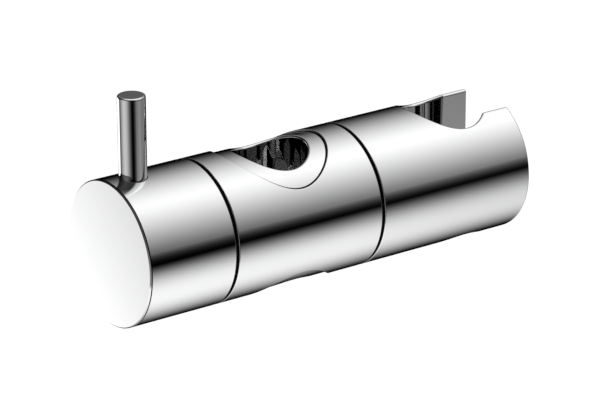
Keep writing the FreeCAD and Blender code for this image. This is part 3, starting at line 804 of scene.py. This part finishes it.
def make_body():
    """Middle section with its round hole for the bush."""
    skin = Skin()
    rims = [hole_rim(0.0, BODY_HOLE, BARREL, HOLE_ROUND, up) for up in (1, -1)]
    left, right = -BODY_END + SECTION_ROUND, BODY_END - SECTION_ROUND
    for rim, up in zip(rims, (1, -1)):
        skin.sheet(rows_of(rim), PLATED, closed=True)
        half_shell(skin, left, right, up, unrolled(rim))
    # The hole's wall, the ways, the chamber and the end faces in the grooves take the dark recess chrome:
    # painted shade.
    thread = [(y, z) for y, z, _, _ in circle_runs(SPINDLE_HOLE)[0][:-1]]
    upright_wall(skin, BODY_HOLE, rims, True, RECESS_SHADE, [(-1, way_loop()), (1, thread)])
    channel(skin, way_outline(), lambda y, z: CHAMBER_FLOOR, on_cylinder(BODY_HOLE, -1), RECESS_SHADE)
    seat = BODY_END - SPINDLE_DEPTH
    channel(skin, circle_runs(SPINDLE_HOLE), on_cylinder(BODY_HOLE, 1), lambda y, z: seat, RECESS_SHADE)
    flat_face(skin, CHAMBER_FLOOR, [circle(CHAMBER_RADIUS), way_loop()], -1.0, RECESS_SHADE)
    skin.lathe([(CHAMBER_FLOOR, CHAMBER_RADIUS, 0, RECESS_SHADE), (-BODY_END, CHAMBER_RADIUS, 0, RECESS_SHADE),
                (-BODY_END, BARREL, SECTION_ROUND, PLATED), (left, BARREL, 0, PLATED)], about_x)
    skin.lathe([(right, BARREL, 0, PLATED), (BODY_END, BARREL, SECTION_ROUND, RECESS_SHADE),
                (BODY_END, SPINDLE_SEAT, 0, RECESS_SHADE), (seat, SPINDLE_SEAT, 0, RECESS_SHADE),
                (seat, SPINDLE_HOLE, 0, RECESS_SHADE)], about_x)
    return skin


def rebate(skin, rim, up):
    """Shallow step round the bush's end that leaves a seam beside the body; returns its outer points."""
    rows = [[], [], [], []]
    for column in rim:
        (x, y, z), normal = column[-1]
        spread = BUSH_RADIUS / (BUSH_RADIUS - SEAM_GAP)
        floor_z = z - up * SEAM_DEPTH
        rows[0].append(((x, y, z), normal))
        rows[1].append(((x, y, floor_z), normal))
        rows[2].append(((x, y, floor_z), (0.0, 0.0, up)))
        rows[3].append(((x * spread, y * spread, floor_z), (0.0, 0.0, up)))
    # The seam's walls take the dark recess chrome: a painted shadow line round the bush.
    skin.sheet(rows[:2], RECESS_SHADE, closed=True)
    skin.sheet(rows[2:], RECESS_SHADE, closed=True)
    return [[corner] for corner in rows[3]]


def make_bush():
    """Ring round the rail, a little below the barrel's surface."""
    skin = Skin()
    outer = [hole_rim(0.0, BUSH_RADIUS - SEAM_GAP, BUSH_ENDS, BUSH_RIM_ROUND, up, inward=False)
             for up in (1, -1)]
    inner = [hole_rim(0.0, BORE_RADIUS, BUSH_ENDS, BORE_ROUND, up) for up in (1, -1)]
    for out, into, up in zip(outer, inner, (1, -1)):
        skin.sheet(rows_of(out), PLATED, closed=True)
        skin.sheet(rows_of(into), PLATED, closed=True)
        rows = []
        for share in spaced(0, 1, RING_STEPS):
            row = []
            for one, two in zip(into, out):
                x = one[0][0][0] * (1 - share) + two[0][0][0] * share
                y = one[0][0][1] * (1 - share) + two[0][0][1] * share
                z = up * math.sqrt(BUSH_ENDS ** 2 - y ** 2)
                row.append(((x, y, z), (0.0, y / BUSH_ENDS, z / BUSH_ENDS)))
            rows.append(row)
        skin.sheet(rows, PLATED, closed=True)
    seams = [rebate(skin, rim, up) for rim, up in zip(outer, (1, -1))]
    # The bush's outer wall and the plunger way take the dark recess chrome, painted shade; the bore takes
    # the darkened bore chrome, painted shade as well.
    upright_wall(skin, BUSH_RADIUS, seams, False, RECESS_SHADE, [(-1, way_loop())])
    upright_wall(skin, BORE_RADIUS, inner, True, BORE, [(-1, way_loop())])
    channel(skin, way_outline(), on_cylinder(BUSH_RADIUS, -1), on_cylinder(BORE_RADIUS, -1), RECESS_SHADE)
    return skin


def make_cap():
    """End cap: disc with a bevelled rim, a fine groove behind the rim, and its skirt."""
    skin = Skin()
    near = CAP_LEFT + CAP_BEVEL
    far = near + CAP_SEAM_WIDTH
    low = BARREL - CAP_SEAM_DEPTH
    end = KNOB_LEFT + SKIRT_LEN
    # The groove behind the rim and the hidden faces take the dark recess chrome: a painted shadow line
    # behind the disc.
    skin.lathe([(CAP_LEFT, 0.0, 0, PLATED), (CAP_LEFT, BARREL - CAP_BEVEL, 0, PLATED),
                (near, BARREL, 0, RECESS_SHADE), (near, low, 0, RECESS_SHADE), (far, low, 0, RECESS_SHADE), (far, BARREL, 0, PLATED),
                (KNOB_LEFT, BARREL, 0, RECESS_SHADE), (KNOB_LEFT, SKIRT_RADIUS, 0, RECESS_SHADE),
                (end, SKIRT_RADIUS, 0, RECESS_SHADE), (end, SKIRT_INSIDE, 0, RECESS_SHADE),
                (KNOB_LEFT, SKIRT_INSIDE, 0, RECESS_SHADE), (KNOB_LEFT, 0.0, 0, RECESS_SHADE)], about_x)
    return skin


def make_pin():
    """Lever pin with a rolled top and its threaded end."""
    skin = Skin()
    # The stud and the step under the seat take the dark recess chrome: painted shade.
    skin.lathe([(PIN_LOW, 0.0, 0, RECESS_SHADE), (PIN_LOW, STUD_RADIUS, 0, RECESS_SHADE), (SEAT_LOW, STUD_RADIUS, 0, RECESS_SHADE),
                (SEAT_LOW, PIN_RADIUS, 0, PLATED), (PIN_TOP, PIN_RADIUS, PIN_ROUND, PLATED),
                (PIN_TOP, 0.0, 0, PLATED)], about_pin)
    return skin


def hexagon(across):
    """Corners of a hexagon about the X axis, one of them at the top."""
    corner = across / math.sqrt(3)
    return [(corner * math.sin(a), corner * math.cos(a)) for a in (math.tau * step / 6 for step in range(6))]


def make_knob():
    """Hollow knob with the seat of the lever pin and a hexagon hole in its hub."""
    skin = Skin()
    right = KNOB_RIGHT - SECTION_ROUND
    seat, stud, bottom = PIN_RADIUS + PRESS_ROOM, STUD_RADIUS + STUD_ROOM, PIN_LOW - PRESS_ROOM
    rim = hole_rim(PIN_AXIS, seat, BARREL, SEAT_ROUND, 1)
    # The pin seat's rolled rim, wall and floor take the dark recess chrome: painted shade at the pin's foot.
    skin.sheet(rows_of(rim), RECESS_SHADE, closed=True)
    half_shell(skin, KNOB_LEFT, right, 1, unrolled(rim))
    half_shell(skin, KNOB_LEFT, right, -1)
    wall = [column[-1] for column in rim]
    skin.sheet([wall, [((x, y, SEAT_LOW), normal) for (x, y, _), normal in wall]], RECESS_SHADE, closed=True)
    skin.lathe([(SEAT_LOW, seat, 0, RECESS_SHADE), (SEAT_LOW, stud, 0, RECESS_SHADE), (bottom, stud, 0, RECESS_SHADE),
                (bottom, 0.0, 0, RECESS_SHADE)], about_pin)
    # The hollow, the hub and the end face in the groove take the dark recess chrome: painted shade.
    skirt, depth = SKIRT_RADIUS + PRESS_ROOM, KNOB_LEFT + SKIRT_LEN + PRESS_ROOM
    skin.lathe([(HUB_LEFT, ACCESS_RADIUS, 0, RECESS_SHADE), (depth, ACCESS_RADIUS, 0, RECESS_SHADE), (depth, skirt, 0, RECESS_SHADE),
                (KNOB_LEFT, skirt, 0, RECESS_SHADE), (KNOB_LEFT, BARREL, 0, RECESS_SHADE)], about_x)
    skin.lathe([(right, BARREL, 0, PLATED), (KNOB_RIGHT, BARREL, SECTION_ROUND, RECESS_SHADE),
                (KNOB_RIGHT, KNOB_HOLLOW, 0, RECESS_SHADE), (WEB_RIGHT, KNOB_HOLLOW, 0, RECESS_SHADE),
                (WEB_RIGHT, HUB_RADIUS, 0, RECESS_SHADE), (HUB_RIGHT, HUB_RADIUS, 0, RECESS_SHADE)], about_x)
    corners = hexagon(DRIVE_HEX)
    flat_face(skin, HUB_RIGHT, [circle(HUB_RADIUS), corners], 1.0, RECESS_SHADE)
    flat_face(skin, HUB_LEFT, [circle(ACCESS_RADIUS), corners], -1.0, RECESS_SHADE)
    for step, (one, two) in enumerate(zip(corners, corners[1:] + corners[:1])):
        lean = math.tau * (step + 0.5) / 6
        run = [(*corner, -math.sin(lean), -math.cos(lean)) for corner in (one, two)]
        channel(skin, [run], lambda y, z: HUB_LEFT, lambda y, z: HUB_RIGHT, RECESS_SHADE)
    return skin


def socket_radius(height):
    """Radius of the conical socket at a height."""
    return SOCKET_MIDDLE + SOCKET_SLOPE * height


def socket_column(angle, up):
    """Rolled edge between the barrel and the socket's wall at one angle about the socket's axis."""
    size = KEYHOLE_ROUND
    ahead, side = math.cos(angle), math.sin(angle)
    wall = unit((-ahead, -side, SOCKET_SLOPE))
    height = up * BARREL * SOLVE_START
    for _ in range(SOLVE_STEPS):
        depth = (socket_radius(height) - size * wall[0] * ahead - size * wall[1] * side) * side
        height = up * math.sqrt((BARREL - size) ** 2 - depth ** 2) + size * wall[2]
    radius = socket_radius(height)
    contact = (SOCKET_AXIS + radius * ahead, radius * side, height)
    centre = moved(contact, wall, -size)
    return rolled(centre, unit((0.0, centre[1], centre[2])), wall, size)


def slot_column(x, side, up):
    """Rolled edge between the barrel and one wall of the hose slot."""
    size = KEYHOLE_ROUND
    depth = side * (SLOT_HALF + size)
    height = up * math.sqrt((BARREL - size) ** 2 - depth ** 2)
    return rolled((x, depth, height), unit((0.0, depth, height)), (0.0, -side, 0.0), size)


def mitre_x(depth, height):
    """x where the socket's rolled edge or wall meets the slot's, from the half width there."""
    offset = abs(depth) - SLOT_HALF
    return SOCKET_AXIS + math.sqrt((socket_radius(height) + offset) ** 2 - depth ** 2)


def mitred(column):
    """A slot's column moved along X to the mitre."""
    return [((mitre_x(y, z), y, z), normal) for (_, y, z), normal in column]


def on_well(y, z):
    """x where the screw well opens into the socket."""
    return SOCKET_AXIS - math.sqrt(socket_radius(z) ** 2 - y ** 2)


def make_holder():
    """End section: conical socket, hose slot and screw well, every outer edge rolled."""
    skin = Skin()
    left, right = HOLDER_LEFT + SECTION_ROUND, HOLDER_END - OPEN_END_ROUND
    slots, rims = {}, {}
    angles = spaced(SOCKET_FIRST, math.tau - SOCKET_FIRST, SOCKET_STEPS)
    for up in (1, -1):
        for side in (1, -1):
            columns = [slot_column(x, side, up) for x in spaced(right, SLOT_LAST, SLOT_STEPS)]
            slots[side, up] = columns + [mitred(columns[0])]
            skin.sheet(rows_of(slots[side, up]))
        corners = []
        for side in (1, -1):
            end = slots[side, up][-1]
            shell = unit((0.0, end[0][0][1], end[0][0][2]))
            corner = []
            for step, ((x, y, z), _) in enumerate(end):
                ahead, aside, _ = unit((SOCKET_AXIS - x, -y, 0.0))
                wall = unit((ahead, aside, SOCKET_SLOPE))
                corner.append(((x, y, z), turned_between(shell, wall, step / ROUND_STEPS)))
            corners.append(corner)
        rims[up] = [corners[0]] + [socket_column(angle, up) for angle in angles] + [corners[1]]
        skin.sheet(rows_of(rims[up]))
        path = [column[0][0] for column in slots[-1, up]]
        path += [column[0][0] for column in reversed(rims[up][1:-1])]
        path += [column[0][0] for column in reversed(slots[1, up])]
        flat = [(x, BARREL * math.atan2(y, abs(z))) for x, y, z in path]
        half_shell(skin, left, right, up, cut=flat)

    heights = {}
    for side in (1, -1):
        rows = []
        for upper, lower in zip(slots[side, 1], slots[side, -1]):
            rows.append([((upper[-1][0][0], side * SLOT_HALF, z), (0.0, -side, 0.0))
                         for z in spaced(upper[-1][0][2], lower[-1][0][2], WALL_STEPS)])
        rows[-1] = [((mitre_x(SLOT_HALF, z), y, z), normal) for (_, y, z), normal in rows[-1]]
        heights[side] = [point for point, _ in rows[-1]]
        skin.sheet(rows, PLATED)
        slots[side, 0] = rows[0]

    def unroll(point):
        angle = math.atan2(point[1], point[0] - SOCKET_AXIS) % math.tau
        return angle * SOCKET_MIDDLE, point[2]

    loop = [unroll(column[-1][0]) for column in rims[1]]
    loop += [unroll(point) for point in heights[-1][1:-1]]
    loop += [unroll(column[-1][0]) for column in reversed(rims[-1])]
    loop += [unroll(point) for point in reversed(heights[1][1:-1])]
    well = [unroll((on_well(y, z), y, z)) for y, z in circle(WELL_RADIUS)]

    def lift(arc, height):
        angle = arc / SOCKET_MIDDLE
        radius = socket_radius(height)
        ahead, side = math.cos(angle), math.sin(angle)
        return (SOCKET_AXIS + radius * ahead, radius * side, height), unit((-ahead, -side, SOCKET_SLOPE))

    rise = spaced(-FILL_HEIGHT, FILL_HEIGHT, WALL_STEPS)
    fill = [(angle * SOCKET_MIDDLE, z) for angle in angles for z in rise]
    skin.patch([loop, well], fill, lift)
    # The screw well takes the dark recess chrome: painted shade.
    channel(skin, circle_runs(WELL_RADIUS), on_well, lambda y, z: SHOULDER_RIGHT, RECESS_SHADE)

    for side in (1, -1):
        outline = list(slots[side, 1][0][::-1])
        _, y, z = outline[-1][0]
        first = abs(math.atan2(y, z)) + SKIN_MARGIN / 2 / BARREL
        _, y, z = slots[side, -1][0][0][0]
        last = math.pi - abs(math.atan2(y, abs(z))) - SKIN_MARGIN / 2 / BARREL
        for angle in ring_angles():
            if first < angle < last:
                normal = (0.0, side * math.sin(angle), math.cos(angle))
                outline.append(((right, BARREL * normal[1], BARREL * normal[2]), normal))
        outline += slots[side, -1][0]
        outline += slots[side, 0][::-1][1:-1]
        rows = []
        for share in spaced(0, 1, ROUND_STEPS):
            row = []
            for point, normal in outline:
                leaning = turned_between(normal, (1.0, 0.0, 0.0), share)
                place = moved(moved(point, leaning, OPEN_END_ROUND), normal, -OPEN_END_ROUND)
                row.append((place, leaning))
            rows.append(row)
        skin.sheet(rows, PLATED, closed=True)
        flat_face(skin, HOLDER_END, [[point[1:] for point, _ in rows[-1]]], 1.0, PLATED)

    # The bores, the hollow and the end face in the groove take the dark recess chrome: painted shade.
    bottom = HOLDER_LEFT + HOLLOW_DEPTH
    skin.lathe([(SHOULDER_RIGHT, WELL_RADIUS, 0, RECESS_SHADE), (SHOULDER_RIGHT, PILOT_HOLE, 0, RECESS_SHADE),
                (SHOULDER_LEFT, PILOT_HOLE, 0, RECESS_SHADE), (SHOULDER_LEFT, JOURNAL_HOLE, 0, RECESS_SHADE),
                (HOLDER_LEFT, JOURNAL_HOLE, 0, RECESS_SHADE), (HOLDER_LEFT, HOLLOW_INSIDE, 0, RECESS_SHADE),
                (bottom, HOLLOW_INSIDE, 0, RECESS_SHADE), (bottom, HOLLOW_OUTSIDE, 0, RECESS_SHADE),
                (HOLDER_LEFT, HOLLOW_OUTSIDE, 0, RECESS_SHADE), (HOLDER_LEFT, BARREL, SECTION_ROUND, PLATED),
                (left, BARREL, 0, PLATED)], about_x)
    return skin


place_camera()
make_world()
floor()
bpy.context.scene.view_settings.view_transform = "Standard"

FINISHES = {
    "chrome_plate": chrome("chrome_plate", 0.97, 0.01, 0.035),
    "brass_metal": machined("brass_metal", (0.78, 0.62, 0.30), 0.22),
    "stainless_steel": machined("stainless_steel", (0.62, 0.62, 0.63), 0.20),
    "black_acetal": moulded("black_acetal", (0.010, 0.010, 0.011), 0.45, 2500.0),
    "rubber_ring": moulded("rubber_ring", (0.018, 0.018, 0.018), 0.65, 4000.0),
    "pad_nylon": moulded("pad_nylon", (0.30, 0.30, 0.31), 0.40, 2500.0),
}
# Painted shade: a copy of the chrome darkened to a grey of 0.16, and rougher, for recesses, grooves, seams
# and hidden faces.
SHADED = chrome("chrome_painted_recess_shade", 0.16, 0.15, 0.35)
# Painted shade: the lever pin's chrome is a darker copy of the plate, 0.90 in place of 0.97.
PIN_SHADED_CHROME = chrome("chrome_pin_painted_shade", 0.90, 0.01, 0.035)
# Painted shade: the rail bore's chrome is darkened to 0.62, so that its mirrored bounces dim towards black.
BORE_SHADED_CHROME = chrome("chrome_bore_painted_shade", 0.62, 0.003, 0.012)

for part in frame["record"]["subparts"]:
    item = nodes[part["node"]]
    item.data.materials.clear()
    item.data.materials.append(FINISHES[part["material_slot"]])

PLATE = (FINISHES["chrome_plate"], SHADED)
make_body().build("body_barrel", "slider_body", "chrome_plate", PLATE)
make_bush().build("rail_bush", "slider_body", "chrome_plate", (*PLATE, BORE_SHADED_CHROME))
make_knob().build("lever_knob", "knob", "chrome_plate", PLATE)
make_holder().build("handset_holder", "holder", "chrome_plate", PLATE)
make_cap().build("knob_end_cap", "knob", "chrome_plate", PLATE)
make_pin().build("lever_pin", "knob", "chrome_plate", (PIN_SHADED_CHROME, SHADED))
